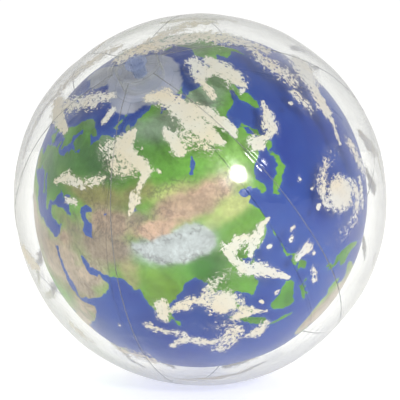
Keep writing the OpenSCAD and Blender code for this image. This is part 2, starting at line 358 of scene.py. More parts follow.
def signed_distance(lon, lat, outline):
    """Degrees from each place to an outline, positive inside it."""
    ring = np.array(outline, float)
    middle = (ring[:, 0].min() + ring[:, 0].max()) / 2
    x, shrink = wrap(lon - middle), np.cos(np.radians(lat))
    best, inside = np.full(len(lon), np.inf), np.zeros(len(lon), bool)
    for (ax, ay), (bx, by) in zip(ring, np.roll(ring, -1, axis=0)):
        ax, bx = ax - middle, bx - middle
        edge_x, edge_y = (bx - ax) * shrink, by - ay
        to_x, to_y = (x - ax) * shrink, lat - ay
        length = np.maximum(edge_x**2 + edge_y**2, 1e-9)
        along = ((to_x * edge_x + to_y * edge_y) / length).clip(0, 1)
        best = np.minimum(best, (to_x - along * edge_x) ** 2 + (to_y - along * edge_y) ** 2)
        if ay != by:
            crossing = ax + (lat - ay) / (by - ay) * (bx - ax)
            inside ^= ((ay > lat) != (by > lat)) & (x < crossing)
    return np.where(inside, 1, -1) * np.sqrt(best)


REACH = 6.0  # degrees beyond which the distance to a coast no longer matters


def land_distance(lon, lat):
    """Degrees inland from the nearest coast, negative at sea."""
    shore = np.full(len(lon), -REACH)
    for group, sign in ((LAND, 1), (LAKES, -1)):
        for outline in group.values():
            ring = np.array(outline, float)
            low, high = ring.min(0) - REACH, ring.max(0) + REACH
            middle = (low[0] + high[0]) / 2
            stretch = np.cos(np.radians(lat)).clip(0.15, 1)
            near = np.abs(wrap(lon - middle)) < (high[0] - low[0]) / 2 / stretch
            near &= (lat > low[1]) & (lat < high[1])
            if not near.any():
                continue
            d = signed_distance(lon[near], lat[near], outline).clip(-REACH, REACH)
            shore[near] = np.maximum(shore[near], d) if sign > 0 else np.minimum(shore[near], -d)
    return shore


def linear(red, green, blue):
    """Scene-linear colour of an sRGB colour given in 0 to 255."""
    values = np.array([red, green, blue]) / 255
    return np.where(values <= 0.04045, values / 12.92, ((values + 0.055) / 1.055) ** 2.4)


TONES = {
    "meadow": linear(108, 168, 68),
    "taiga": linear(78, 124, 72),
    "tundra": linear(134, 158, 134),
    "amur": linear(138, 190, 92),
    "steppe": linear(146, 146, 96),
    "desert": linear(178, 156, 134),
    "peach": linear(208, 176, 152),
    "loess": linear(190, 200, 128),
    "rock": linear(158, 144, 126),
    "sand": linear(194, 178, 158),
    "jungle": linear(66, 128, 48),
    "farmland": linear(114, 156, 58),
    "thorn": linear(174, 162, 122),
    "snow": linear(190, 198, 200),
    "ice": linear(150, 156, 174),
}

# Soft strokes of land colour: longitude, latitude, half width, half height, tone, strength
STROKES = [
    (50, 61, 34, 9, "taiga", 1.2), (108, 67, 48, 5, "taiga", 0.5), (-105, 56, 45, 8, "taiga", 1.0),
    (15, 50, 25, 10, "taiga", 0.9), (95, 70, 80, 4, "tundra", 1.0), (150, 67, 30, 5, "tundra", 0.8),
    (100, 68, 14, 4, "tundra", 0.9), (-110, 68, 50, 6, "tundra", 0.9), (125, 49, 12, 5, "amur", 1.0),
    (58, 50, 26, 3.4, "steppe", 1.2), (80, 52, 8, 2.4, "steppe", 0.8), (35, 39, 9, 3, "steppe", 0.7),
    (94, 49, 10, 2.4, "loess", 0.8), (-102, 41, 8, 9, "steppe", 0.8), (-4, 39, 4, 3, "steppe", 0.8),
    (62, 42, 12, 5.4, "desert", 1.3), (76, 43, 5, 3, "rock", 0.9), (88, 44, 6, 3, "desert", 0.9),
    (107, 43.5, 14, 4.4, "peach", 1.5), (96, 43, 9, 4.2, "peach", 1.2), (82, 39.5, 8, 2.6, "peach", 1.6),
    (114, 37, 9, 3, "loess", 1.2), (105, 36, 5, 2.4, "loess", 0.8), (122, 43, 5, 3, "loess", 0.7),
    (58, 34, 11, 6, "rock", 1.2), (68, 34, 6, 4.4, "rock", 1.1), (46, 36, 8, 5, "rock", 0.9),
    (70, 27, 4.5, 4, "thorn", 1.0), (77, 26, 4, 3, "farmland", 0.8), (79, 19, 7, 8, "farmland", 1.1),
    (70, 23, 2.5, 2.4, "thorn", 0.7), (46, 23, 13, 9, "sand", 1.4), (10, 23, 30, 8, "sand", 1.4),
    (30, 22, 12, 9, "sand", 1.3), (38, 33, 5, 3, "desert", 1.0), (46, 8, 7, 7, "sand", 1.0),
    (38, -3, 8, 9, "sand", 1.0),
    (22, 13, 30, 3, "steppe", 0.7), (22, 0, 10, 6, "jungle", 0.9), (21, -24, 7, 7, "sand", 0.8),
    (96, 24, 6, 7, "jungle", 1.1), (101, 25, 4, 3, "taiga", 0.5), (94, 18, 3, 4, "jungle", 0.6),
    (115, 0, 25, 9, "jungle", 0.6), (112, 29, 9, 5, "farmland", 0.4), (141, -5, 11, 5, "jungle", 1.0),
    (130, -25, 19, 9, "sand", 1.4), (146, -20, 5, 12, "steppe", 0.6), (-62, -5, 15, 10, "jungle", 0.9),
    (-66, -36, 6, 12, "steppe", 0.8), (-69, -46, 4, 7, "rock", 0.8), (-69, -22, 3, 9, "rock", 0.9),
    (-110, 34, 9, 7, "sand", 0.9), (-112, 45, 7, 9, "rock", 0.5), (88, 33, 12, 4.0, "snow", 2.4),
    (77, 34.5, 4, 2.4, "snow", 1.0), (99, 31.5, 4, 3, "snow", 0.8), (-42, 72, 40, 14, "ice", 2.0),
    (0, -85, 400, 20, "ice", 2.0),
]

# Land with a sharper outline: tone, strength, outline in degrees
REGIONS = [
    ("snow", 0.9, [
        (73, 37), (79, 36), (84, 36.5), (90, 38), (95, 39), (100, 37.5), (103, 34), (102, 30),
        (98, 28), (92, 28), (86, 28.5), (81, 30.5), (76, 33), (73, 35),
    ]),
    ("peach", 0.9, [(76, 39), (80, 41), (86, 42), (90, 41), (93, 40), (88, 37.5), (80, 37)]),
    ("desert", 0.6, [
        (86, 47), (92, 48), (102, 46), (111, 46), (117, 44), (114, 41), (106, 38), (98, 40), (91, 43),
    ]),
]

# Mountain ranges as chains of (longitude, latitude, half width) in degrees
RANGES = [
    [(70, 42, 1.2), (76, 42, 1.5), (82, 43, 1.5), (88, 43.5, 1)],
    [(84, 50, 1.5), (90, 50, 1.8), (98, 51, 1.5), (105, 50, 1)],
    [(73, 35, 1.3), (78, 32, 1.2), (86, 28.3, 1), (94, 28.5, 1.2), (98, 28, 1)],
    [(66, 35, 1.2), (71, 37, 1.5), (76, 37, 1), (84, 36, 1), (92, 36, 1), (100, 36, 1.2)],
    [(31, 37.5, 0.8), (41, 39, 1.2), (44, 37, 1.2), (48, 33, 1.2), (53, 29, 1.2), (58, 28, 1)],
    [(39, 43.5, 0.8), (44, 42.5, 0.9), (48, 38, 0.8), (53, 36, 0.8), (58, 37.5, 0.8)],
    [(59, 52, 0.9), (59, 58, 0.9), (60, 64, 0.9), (65, 67, 0.8)],
    [(119, 45, 1), (121, 50, 1)],
    [(140, 65, 1.3), (147, 62, 1.2)],
    [(7, 45.5, 0.8), (13, 46.8, 0.8)],
    [(38, 8, 2), (39, 13, 1.5)],
    [(-122, 55, 1.5), (-114, 47, 1.6), (-107, 40, 1.6), (-105, 33, 1.2)],
    [(-77, 0, 1), (-76, -10, 1.4), (-68, -18, 1.8), (-70, -32, 1.2), (-72, -45, 1)],
]

ICE_EDGE = 77.0  # latitude at which the polar ice begins


def map_fields(points, slip):
    """Coast distance, land colour, relief and ice at unit vectors of the map's own frame.
    slip is how far, in degrees of longitude, a gore's print is out of register."""
    lon, lat = lon_lat(points)
    lon = lon + slip
    swirl = points * 11
    lon = lon + (0.4 * fbm(swirl, 3, 3) + 0.4 * fbm(points * 45, 3, 5)) / np.cos(np.radians(lat)).clip(0.2, 1)
    lat_w = (lat + 0.35 * fbm(swirl, 3, 4) + 0.35 * fbm(points * 45, 3, 6)).clip(-89.9, 89.9)
    lon = wrap(lon)
    shore = land_distance(lon, lat_w)

    tint = np.tile(TONES["meadow"], (len(lon), 1))
    patch = fbm(points * 9, 4, 21)
    for at_lon, at_lat, half_w, half_h, tone, strength in STROKES:
        across = wrap(lon - at_lon) * (np.cos(np.radians(lat_w)) if half_w < 90 else 0)
        q = (across / (half_w * math.cos(math.radians(min(abs(at_lat), 70))))) ** 2
        q = q + ((lat_w - at_lat) / half_h) ** 2
        weight = (strength * np.exp(-(q**1.5)) * (1 + 0.5 * patch)).clip(0, 1)[:, None]
        tint = tint * (1 - weight) + TONES[tone] * weight
    for tone, strength, outline in REGIONS:
        inland = signed_distance(lon, lat_w, outline) + 0.7 * patch
        weight = strength * smooth(-0.6, 0.6, inland)[:, None]
        tint = tint * (1 - weight) + TONES[tone] * weight
    dry = tint[:, 0] / (tint[:, 1] + 0.02)
    relief = smooth(0.75, 1.1, dry) * (0.4 + 0.6 * smooth(-0.2, 0.4, fbm(points * 6, 3, 31)))
    for chain in RANGES:
        relief = np.maximum(relief, smooth(-0.6, 0.5, along_chain(points, 1.0, chain)[0]))
    ice = smooth(ICE_EDGE - 0.25, ICE_EDGE + 0.25, lat + 1.6 * fbm(points * 5, 3, 41))
    return shore, tint, relief, ice


# ---------------------------------------------------------------- the printed clouds, in map degrees

# Banks: how solid, then a chain of (longitude, latitude, half width), all in degrees
BANKS = [
    # Siberia
    (1.1, [(105, 73, 1.6), (115, 71, 3), (118, 67, 3.2), (119, 61, 3.4), (121, 56, 3), (123, 51, 1)]),
    (1.1, [(119, 65, 2.2), (128, 60, 1.8), (130, 55, 1.8), (130, 50, 0.8)]),
    (1.0, [(160, 72, 2), (148, 68, 2.4), (154, 66, 1.6)]),
    (1.1, [(163, 68, 1.6), (159, 65, 3.2), (155, 60, 3.4), (152, 56, 1)]),
    (0.8, [(141, 68, 1), (139, 65, 1.2), (137, 62, 1)]),
    (1.1, [(86, 65, 0.8), (78, 61, 3.4), (84, 57, 1.8), (89, 53, 1.7), (84, 49, 0.8)]),
    (0.5, [(70, 61, 2), (76, 56, 2.4), (84, 55, 2)]),
    (0.9, [(82, 47, 1.8), (80, 43, 0.8)]),
    (1.1, [(103, 61, 1.2), (105, 58, 2.2), (106, 55, 2)]),
    (0.4, [(110, 59, 2), (118, 53, 2)]),
    # Japan
    (0.9, [(150, 51, 0.6), (147, 48, 1.2), (142, 45, 2.2)]),
    (1.0, [(133, 45, 2), (137, 44, 1.2), (141, 44, 0.9)]),
    # China and the South China Sea
    (1.0, [(121, 28, 0.6), (117, 27, 1.4), (113, 25, 2.2), (111, 23, 1.2)]),
    (1.0, [(111, 27, 1.5), (106, 26, 2.4), (105, 23, 1.5), (106, 20, 1.8), (110, 18, 2.4), (117, 10, 0.5)]),
    (0.9, [(126, 14, 1.4), (121, 13, 0.8)]),
    (0.6, [(124, 7, 1), (123, 4, 1)]),
    # Bay of Bengal and the Indian Ocean
    (0.8, [(99, 7, 1.4), (103, 7, 1.3), (107, 4, 0.5)]),
    (0.6, [(93, 16, 1.2), (95, 12, 1.5)]),
    (0.8, [(101, -2, 1.6), (105, 0, 1.6)]),
    (0.5, [(93, 1, 1.6), (98, 3, 1.4)]),
    (1.0, [(81, 17, 2), (81, 13, 1.7)]),
    (0.9, [(85, 15, 1.2), (88, 16, 2), (92, 16, 0.8)]),
    (0.6, [(83, 14, 1), (89, 17, 1.2), (96, 17, 1)]),
    (0.55, [(75, 11, 1), (83, 6, 1)]),
    (0.8, [(79, 2, 0.8), (84, 4, 1.2), (87, 2, 1.6), (91, 1, 1)]),
    (0.5, [(91, -3, 1.8), (98, 2, 1.4)]),
    (0.8, [(99, -2, 0.9), (103, -2, 1.6)]),
    # North Pacific
    (0.5, [(-176, 57, 1.6), (174, 51, 2.4), (168, 45, 2.2)]),
    (1.0, [(-177, 41, 4), (175, 39, 4), (170, 37, 2.6), (166, 35, 2.2), (163, 32, 2)]),
    (0.8, [(163, 32, 1.2), (161, 28, 0.8), (157, 25, 0.5)]),
    (0.5, [(160, 21, 1.6), (157, 13, 1.6)]),
    (0.45, [(162, 43, 1.2), (160, 38, 1.4)]),
    (0.5, [(147, 27, 1.2), (142, 25, 0.6)]),
    (0.6, [(153, 14, 0.8), (149, 7, 0.9)]),
    # Europe and the Arctic
    (1.1, [(0, 64, 2.6), (19, 64, 2.6), (30, 63, 1.5)]),
    (0.6, [(13, 68, 2.6), (40, 74, 2.4), (62, 77, 1.4)]),
    (0.9, [(67, 72, 1.2), (63, 69, 1)]),
    (0.9, [(43, 50, 1.2), (50, 52, 1.5), (57, 51, 0.9)]),
    (0.6, [(60, 52, 1), (67, 53, 1.2)]),
    (0.8, [(51, 46, 1.2), (55, 46, 1)]),
    (0.6, [(-28, 87, 2), (-141, 84, 3), (-163, 73, 3), (-169, 61, 3), (-175, 52, 2)]),
    (0.55, [(-127, 81, 2), (-139, 71, 3), (-144, 62, 2)]),
    (0.5, [(-20, 70, 2), (-39, 75, 2.4), (-62, 79, 2)]),
    (0.5, [(45, 4, 2), (49, 0, 1.6)]),
    (0.4, [(62, -1, 1.6), (70, -5, 1.6)]),
]

# Small puffs: longitude, latitude, radius in degrees
PUFFS = [
    (125, 21, 0.9), (123, 19, 0.9), (117, 21, 0.9), (126, 11, 0.7), (112, 8, 0.9), (107, 8, 0.8),
    (162, 44, 0.9), (156, 43, 0.8), (136, 30, 0.8), (137, 26, 0.7), (136, 20, 0.8), (58, 50, 0.8),
    (66, 11, 0.7), (94, 52, 0.7), (149, 56, 0.8),
]

# Whirls: longitude, latitude, radius in degrees, turn
WHIRLS = [(98, 13, 3.6, 1), (144, 17, 4.6, 1), (-38, 48, 5, 1), (-140, -42, 6, -1), (20, -50, 6, -1)]

SEEN = sphere_points(104, 41)  # the middle of the side whose clouds are placed one by one
OTHER_BANKS = 60


def drifting_banks():
    """Repeatable banks over the rest of the ball, each a short chain that drifts east."""
    draw = np.random.default_rng(11)
    banks = []
    while len(banks) < OTHER_BANKS:
        lon, lat = draw.uniform(-180, 180), math.degrees(math.asin(draw.uniform(-0.97, 0.97)))
        slope, width, fill = draw.uniform(-0.7, 0.7), draw.uniform(0.8, 3.4), draw.uniform(0.4, 1.1)
        steps = draw.integers(3, 7)
        bends = draw.uniform(-1.5, 1.5, steps)
        if sphere_points(lon, lat) @ SEEN > 0.25:
            continue
        chain = []
        for k in range(steps):
            swell = width * math.sin(math.pi * (k + 0.7) / (steps + 0.4))
            chain.append((lon, max(-86, min(86, lat)), max(0.6, swell)))
            lon += 4.5 / max(0.2, math.cos(math.radians(lat)))
            lat += 4.5 * slope + bends[k]
        banks.append((fill, chain))
    return banks


def along_chain(points, fill, chain):
    """Depth in one bank, and how far along and beside its middle line each place is, in degrees."""
    ends = sphere_points(np.array([c[0] for c in chain]), np.array([c[1] for c in chain]))
    depth, along, beside = (np.full(len(points), v) for v in (-9.0, 0.0, 0.0))
    start = 0.0
    for k in range(len(chain) - 1):
        edge = ends[k + 1] - ends[k]
        length = np.linalg.norm(edge)
        share = ((points - ends[k]) @ edge / length**2).clip(0, 1)
        off = points - (ends[k] + share[:, None] * edge)
        gap = np.degrees(np.linalg.norm(off, axis=1))
        side = np.degrees(off @ np.cross(ends[k], edge / length))
        half = chain[k][2] * (1 - share) + chain[k + 1][2] * share
        here = np.minimum(1 - gap / half, 0.6) * fill
        closer = here > depth
        depth = np.where(closer, here, depth)
        along = np.where(closer, start + share * math.degrees(length), along)
        beside = np.where(closer, side, beside)
        start += math.degrees(length)
    return depth, along, beside


def whirl(points, lon, lat, radius, turn):
    """Depth in a whirl's disc and arms, and its spiral coordinates in degrees."""
    centre = sphere_points(lon, lat)
    east = np.cross([0, 0, 1], centre)
    east /= np.linalg.norm(east)
    north = np.cross(centre, east)
    x, y = np.degrees(points @ east), np.degrees(points @ north)
    reach = np.hypot(x, y) / radius + 1e-6
    swirl = np.arctan2(y, x) + turn * 2.2 * np.log(reach)
    disc = 0.75 * (1.08 - reach) / 0.5
    arms = 0.5 * np.cos(2 * swirl) - 0.1 - 0.55 * np.abs(reach - 1.45)
    depth = np.where(points @ centre > 0.5, np.maximum(disc, arms), -9)
    return depth.clip(-9, 0.7), swirl * radius, reach * radius * 3


def cloud_field(points):
    """Depth in printed cloud, and streak coordinates that run along each bank."""
    wobble = np.stack([fbm(points * 9, 3, s) for s in (51, 52, 53)], 1) * 0.016
    wobble += np.stack([fbm(points * 28, 3, s) for s in (54, 55, 56)], 1) * 0.009
    moved = points + wobble
    moved /= np.linalg.norm(moved, axis=1)[:, None]
    depth = np.full(len(points), -9.0)
    along, beside = np.zeros(len(points)), np.zeros(len(points))

    def add(parts, index):
        nonlocal depth, along, beside
        here, on, off = parts
        closer = here > depth
        depth = np.where(closer, here, depth)
        along = np.where(closer, on + 40 * index, along)
        beside = np.where(closer, off, beside)

    for index, (fill, chain) in enumerate(BANKS + drifting_banks()):
        add(along_chain(moved, fill, chain), index)
    for index, (lon, lat, radius) in enumerate(PUFFS):
        gap = np.degrees(np.linalg.norm(moved - sphere_points(lon, lat), axis=1))
        add((np.minimum(1 - gap / radius, 0.6), gap, gap), index)
    for index, (lon, lat, radius, turn) in enumerate(WHIRLS):
        add(whirl(moved * 0.35 + points * 0.65, lon, lat, radius, turn), index)
    return depth.clip(-3, 1), np.stack([along, beside, 0 * along], 1)


# ---------------------------------------------------------------- one gore of film


def gore_columns(width):
    """Fractions across a gore, closer together beside the seams."""
    close = np.array([0, 0.6, 1.2, 1.9, 2.8, 4, 5.5]) * MM
    inner = np.linspace(7.5 * MM, width - 7.5 * MM, int((width - 15 * MM) / (2.1 * MM)))
    return np.concatenate([close, inner, width - close[::-1]]) / width


def film_height(towards, along, from_seam, from_pole, seed, puff):
    """How far the film stands out of the true sphere, in metres."""
    d = from_seam / MM
    valley = -0.9 * np.exp(-d / 14) - 0.35 * np.exp(-d / 3)
    weld = 0.35 * smooth(2.6, 2.0, d)
    pucker = fbm(np.stack([along / (6 * MM), d / 22, np.full(len(d), seed * 3.7)], 1), 3, seed)
    pucker = 0.55 * pucker * np.exp(-d / 9) * smooth(0, 1.5, d)
    lumps = 1.1 * fbm(towards * 2.2, 2, seed + 5) + 0.25 * fbm(towards * 7, 2, seed + 6)
    ripple = np.sin(2 * np.pi * from_pole / (4.6 * MM) + 2 * fbm(towards * 5, 2, seed + 7))
    ripple *= 0.3 * smooth(29, 33, from_pole / MM) * smooth(62, 44, from_pole / MM)
    ripple *= smooth(-0.2, 0.5, fbm(towards * 3, 2, seed + 8))
    off_disc = smooth(28, 44, from_pole / MM)
    return (puff * (valley + pucker + lumps) * off_disc + weld * off_disc + ripple) * MM


def make_gore(radius, first_seam, index, seed, puff):
    """The mesh of one gore as a grid of vertices, with its directions in the row frame."""
    width = radius * 2 * math.pi / GORES
    across = gore_columns(width)
    mouth = math.asin((DISC_R - WELD_LAP) / radius)
    rows = int(radius * (math.pi - 2 * mouth) / (2.1 * MM))
    down = np.linspace(mouth, math.pi - mouth, rows)
    grid_down, grid_across = np.meshgrid(down, across, indexing="ij")
    colat, part = grid_down.ravel(), grid_across.ravel()
    lon = first_seam + (index + part) * 2 * math.pi / GORES
    local = np.stack([np.sin(colat) * np.cos(lon), np.sin(colat) * np.sin(lon), np.cos(colat)], 1)
    towards = local @ BALL_TO_ROW.T
    from_seam = np.minimum(part, 1 - part) * 2 * math.pi / GORES * radius * np.sin(colat)
    from_pole = radius * np.minimum(colat, math.pi - colat)
    lift = film_height(towards, radius * colat, from_seam, from_pole, seed, puff)
    spots = CENTRE + towards * (radius + lift)[:, None]
    columns = len(across)
    corner = (np.arange(rows - 1)[:, None] * columns + np.arange(columns - 1)[None, :]).ravel()
    faces = np.stack([corner, corner + columns, corner + columns + 1, corner + 1], 1)
    return spots, faces, towards, from_seam


def mesh_object(name, spots, faces):
    """A smooth-shaded mesh object from vertex places and quads."""
    mesh = bpy.data.meshes.new(name)
    mesh.vertices.add(len(spots))
    mesh.vertices.foreach_set("co", spots.astype(np.float32).ravel())
    mesh.loops.add(faces.size)
    mesh.loops.foreach_set("vertex_index", faces.astype(np.int32).ravel())
    mesh.polygons.add(len(faces))
    mesh.polygons.foreach_set("loop_start", np.arange(0, faces.size, 4, dtype=np.int32))
    mesh.polygons.foreach_set("use_smooth", np.ones(len(faces), bool))
    mesh.update(calc_edges=True)
    mesh.validate()
    piece = bpy.data.objects.new(name, mesh)
    bpy.context.scene.collection.objects.link(piece)
    return piece


def give(piece, name, values):
    """Stores one number, or three, for each vertex."""
    values = np.asarray(values, np.float32)
    kind, field = ("FLOAT", "value") if values.ndim == 1 else ("FLOAT_VECTOR", "vector")
    layer = piece.data.attributes.new(name, kind, "POINT")
    layer.data.foreach_set(field, values.ravel())


def thicken(piece, thickness):
    """Gives a sheet its film thickness, inwards, as a closed shell."""
    solid = piece.modifiers.new("film", "SOLIDIFY")
    solid.thickness = thickness
    solid.offset = -1
    solid.use_even_offset = False


def make_cap(radius, hole, pole, ripple_height):
    """A round polar disc as rings of vertices, rippled round its middle; pole is 1 or -1."""
    rings = np.linspace(hole, DISC_R, int((DISC_R - hole) / (0.8 * MM)) + 1)
    spokes = 160
    ring, spoke = np.meshgrid(rings, np.arange(spokes) * 2 * math.pi / spokes, indexing="ij")
    out, turn = ring.ravel(), spoke.ravel()
    down = out / radius
    local = np.stack([np.sin(down) * np.cos(turn), np.sin(down) * np.sin(turn), pole * np.cos(down)], 1)
    towards = local @ BALL_TO_ROW.T
    wander = 1.6 * fbm(towards * 8, 2, 77)
    wave = np.sin(2 * math.pi * out / (3.4 * MM) + wander)
    wave *= smooth(12, 15, out / MM) * smooth(30, 26, out / MM)
    wave *= smooth(-0.5, 0.4, fbm(towards * 9, 2, 78))
    lift = FILM + ripple_height * wave
    spots = CENTRE + towards * (radius + lift)[:, None]
    index = np.arange(spokes)
    after = np.roll(index, -1)
    faces = [np.stack([k * spokes + index, (k + 1) * spokes + index,
                       (k + 1) * spokes + after, k * spokes + after], 1) for k in range(len(rings) - 1)]
    faces = np.concatenate(faces)
    return spots, (faces if pole > 0 else faces[:, ::-1]), towards


# ---------------------------------------------------------------- materials


class Sheet:
    """A material's node tree with short calls for the nodes that this scene uses."""

    def __init__(self, name):
        self.material = bpy.data.materials.new(name)
        self.material.use_nodes = True
        self.tree = self.material.node_tree
        self.tree.nodes.clear()
        self.output = self.tree.nodes.new("ShaderNodeOutputMaterial")

    def put(self, value, socket):
        if isinstance(value, bpy.types.NodeSocket):
            self.tree.links.new(value, socket)
        elif value is not None:
            socket.default_value = value

    def fix(self, shader, **values):
        """Sets a shader's own sockets."""
        for key, value in values.items():
            shader.inputs[key.replace("_", " ")].default_value = value

    def node(self, kind, **inputs):
        n = self.tree.nodes.new(kind)
        for key, value in inputs.items():
            self.put(value, n.inputs[key.replace("_", " ")])
        return n

    def math(self, operation, a, b=0.0):
        n = self.tree.nodes.new("ShaderNodeMath")
        n.operation = operation
        self.put(a, n.inputs[0])
        self.put(b, n.inputs[1])
        return n.outputs[0]

    def ramp(self, value, low, high, to_low=0.0, to_high=1.0, smoothly=False):
        n = self.tree.nodes.new("ShaderNodeMapRange")
        n.interpolation_type = "SMOOTHSTEP" if smoothly else "LINEAR"
        for socket, v in zip(n.inputs, (value, low, high, to_low, to_high)):
            self.put(v, socket)
        return n.outputs[0]

    def blend(self, factor, a, b, how="MIX"):
        n = self.tree.nodes.new("ShaderNodeMix")
        n.data_type = "RGBA"
        n.blend_type = how
        self.put(factor, n.inputs[0])
        self.put(rgba(a), n.inputs[6])
        self.put(rgba(b), n.inputs[7])
        return n.outputs[2]

    def place(self):
        return self.tree.nodes.new("ShaderNodeTexCoord").outputs["Object"]

    def noise(self, scale, detail=3.0, roughness=0.55, stretch=None):
        where = self.place()
        if stretch:
            n = self.tree.nodes.new("ShaderNodeMapping")
            n.inputs["Scale"].default_value = stretch
            n.inputs["Rotation"].default_value = (0.3, 0.5, 0.7)
            self.put(where, n.inputs["Vector"])
            where = n.outputs[0]
        n = self.node("ShaderNodeTexNoise", Vector=where, Scale=scale, Detail=detail, Roughness=roughness)
        return n.outputs["Fac"]

    def stored(self, name, output="Fac"):
        """What a mesh stores on its vertices under that name."""
        n = self.tree.nodes.new("ShaderNodeAttribute")
        n.attribute_name = name
        return n.outputs[output]

    def mix_shaders(self, factor, a, b):
        n = self.tree.nodes.new("ShaderNodeMixShader")
        self.put(factor, n.inputs[0])
        self.put(a, n.inputs[1])
        self.put(b, n.inputs[2])
        return n.outputs[0]

    def finish(self, surface):
        self.put(surface, self.output.inputs["Surface"])
        return self.material


def rgba(colour):
    """A colour with an alpha of 1, where it has three numbers; anything else as it is."""
    if isinstance(colour, (tuple, list, np.ndarray)) and len(colour) == 3:
        return (*[float(c) for c in colour], 1.0)
    return colour


def film_bump(sheet, strength=0.15):
    """Faint unevenness of soft film."""
    height = sheet.math("ADD", sheet.noise(60, 2), sheet.math("MULTIPLY", sheet.noise(400, 2), 0.15))
    return sheet.node("ShaderNodeBump", Strength=strength, Distance=0.0006, Height=height).outputs[0]


def glancing(sheet):
    """0 where a surface faces the viewer, 1 at its outline."""
    n = sheet.node("ShaderNodeLayerWeight", Blend=0.5)
    return n.outputs["Facing"]


def shine_share(sheet, facing_share=0.04):
    """Share of light that film mirrors, by Schlick's rule."""
    steep = sheet.math("POWER", glancing(sheet), 5.0)
    return sheet.ramp(steep, 0, 1, facing_share, 1.0)


def map_material():
    s = Sheet("printed_map_film")
    detail = s.math("SUBTRACT", s.noise(190, 4, 0.6), 0.5)
    shore = s.math("ADD", s.stored("shore"), s.math("MULTIPLY", detail, 1.9))
    land = s.ramp(shore, -0.04, 0.08)
    deep = s.blend(s.ramp(s.noise(14, 3), 0.35, 0.65), linear(36, 62, 148), linear(50, 82, 164))
    shelf = s.ramp(shore, -1.6, -0.1, smoothly=True)
    water = s.blend(s.math("MULTIPLY", shelf, 0.25), deep, linear(84, 122, 184))
    mottle = s.ramp(s.noise(55, 6, 0.7), 0.3, 0.7, 0.72, 1.22)
    grain = s.math("MULTIPLY", mottle, s.ramp(s.noise(260, 4, 0.65), 0.3, 0.7, 0.84, 1.12))
    grey = s.node("ShaderNodeCombineColor", Red=grain, Green=grain, Blue=grain).outputs[0]
    ground = s.blend(1.0, s.stored("land_tint", "Color"), grey, "MULTIPLY")
    ridges = s.math("ABSOLUTE", s.math("SUBTRACT", s.noise(75, 6, 0.7, (1, 2.2, 1)), 0.5))
    ridges = s.math("MULTIPLY", s.ramp(ridges, 0.0, 0.05, 1.0, 0.0), s.stored("relief"))
    ground = s.blend(s.math("MULTIPLY", ridges, 0.6), ground, linear(84, 78, 82))
    colour = s.blend(land, water, ground)
    frost = s.blend(s.ramp(s.noise(40, 5, 0.6), 0.35, 0.65), linear(152, 160, 186), linear(178, 182, 200))
    colour = s.blend(s.stored("ice"), colour, frost)
    weld = s.math("MULTIPLY", s.ramp(s.stored("seam"), 0.0002, 0.0006, 1.0, 0.0), 0.35)
    colour = s.blend(weld, colour, linear(40, 50, 80))
    skin = s.node("ShaderNodeBsdfPrincipled", Base_Color=colour, Normal=film_bump(s, 0.2))
    s.fix(skin, Roughness=0.45, Specular_IOR_Level=0.3, Coat_Weight=0.25, Coat_Roughness=0.2)
    return s.finish(skin.outputs[0])


def clear_parts(s, haze=0.003, bump=0.12):
    """Clear film: mostly see-through, mirrored at a glance, with a trace of milkiness."""
    normal = film_bump(s, bump)
    through = s.node("ShaderNodeBsdfTransparent", Color=rgba((0.99, 0.992, 0.985))).outputs[0]
    mirror = s.node("ShaderNodeBsdfGlossy", Roughness=0.1, Normal=normal).outputs[0]
    clear = s.mix_shaders(shine_share(s, 0.014), through, mirror)
    milk = s.node("ShaderNodeBsdfDiffuse", Color=rgba(linear(226, 226, 218))).outputs[0]
    edge = s.math("POWER", glancing(s), 5.0)
    share = s.ramp(edge, 0, 1, haze, haze + 0.35)
    return s.mix_shaders(share, clear, milk), normal


def cloud_material():
    s = Sheet("clear_cloud_film")
    clear, normal = clear_parts(s)
    flow = s.tree.nodes.new("ShaderNodeMapping")
    flow.inputs["Scale"].default_value = (0.6, 3.0, 1.0)
    s.put(s.stored("flow", "Vector"), flow.inputs["Vector"])
    streaks = s.node("ShaderNodeTexNoise", Vector=flow.outputs[0], Scale=1.0, Detail=6.0, Roughness=0.68)
    tatters = s.noise(300, 6, 0.7)
    streaky, torn = s.ramp(streaks.outputs["Fac"], 0.35, 0.65), s.ramp(tatters, 0.36, 0.64)
    ragged = s.math("SUBTRACT", s.math("ADD", streaky, torn), 1.0)
    depth = s.math("ADD", s.stored("cloud"), s.math("MULTIPLY", ragged, 0.8))
    cover = s.ramp(depth, 0.1, 0.26)
    patchy = s.ramp(s.noise(22, 3), 0.42, 0.62, 0.03, 0.13)
    veil = s.math("MULTIPLY", s.ramp(depth, -0.6, 0.2), patchy)
    cover = s.math("MAXIMUM", cover, veil)
    thin = s.ramp(s.noise(24, 4), 0.35, 0.65)
    tone = s.blend(thin, linear(246, 238, 220), linear(244, 243, 236))
    ink = s.node("ShaderNodeBsdfPrincipled", Base_Color=tone, Normal=normal)
    s.fix(ink, Roughness=0.4, Specular_IOR_Level=0.3, Coat_Weight=0.25, Coat_Roughness=0.15)
    through = s.node("ShaderNodeBsdfTranslucent", Color=tone).outputs[0]
    printed = s.mix_shaders(cover, clear, s.mix_shaders(0.45, ink.outputs[0], through))
    weld = s.node("ShaderNodeBsdfPrincipled", Base_Color=rgba(linear(128, 130, 132)))
    s.fix(weld, Roughness=0.25)
    faint = s.ramp(s.noise(18, 3), 0.35, 0.65, 0.35, 0.8)
    line = s.math("MULTIPLY", s.ramp(s.stored("seam"), 0.0002, 0.0006, 1.0, 0.0), faint)
    return s.finish(s.mix_shaders(line, printed, weld.outputs[0]))


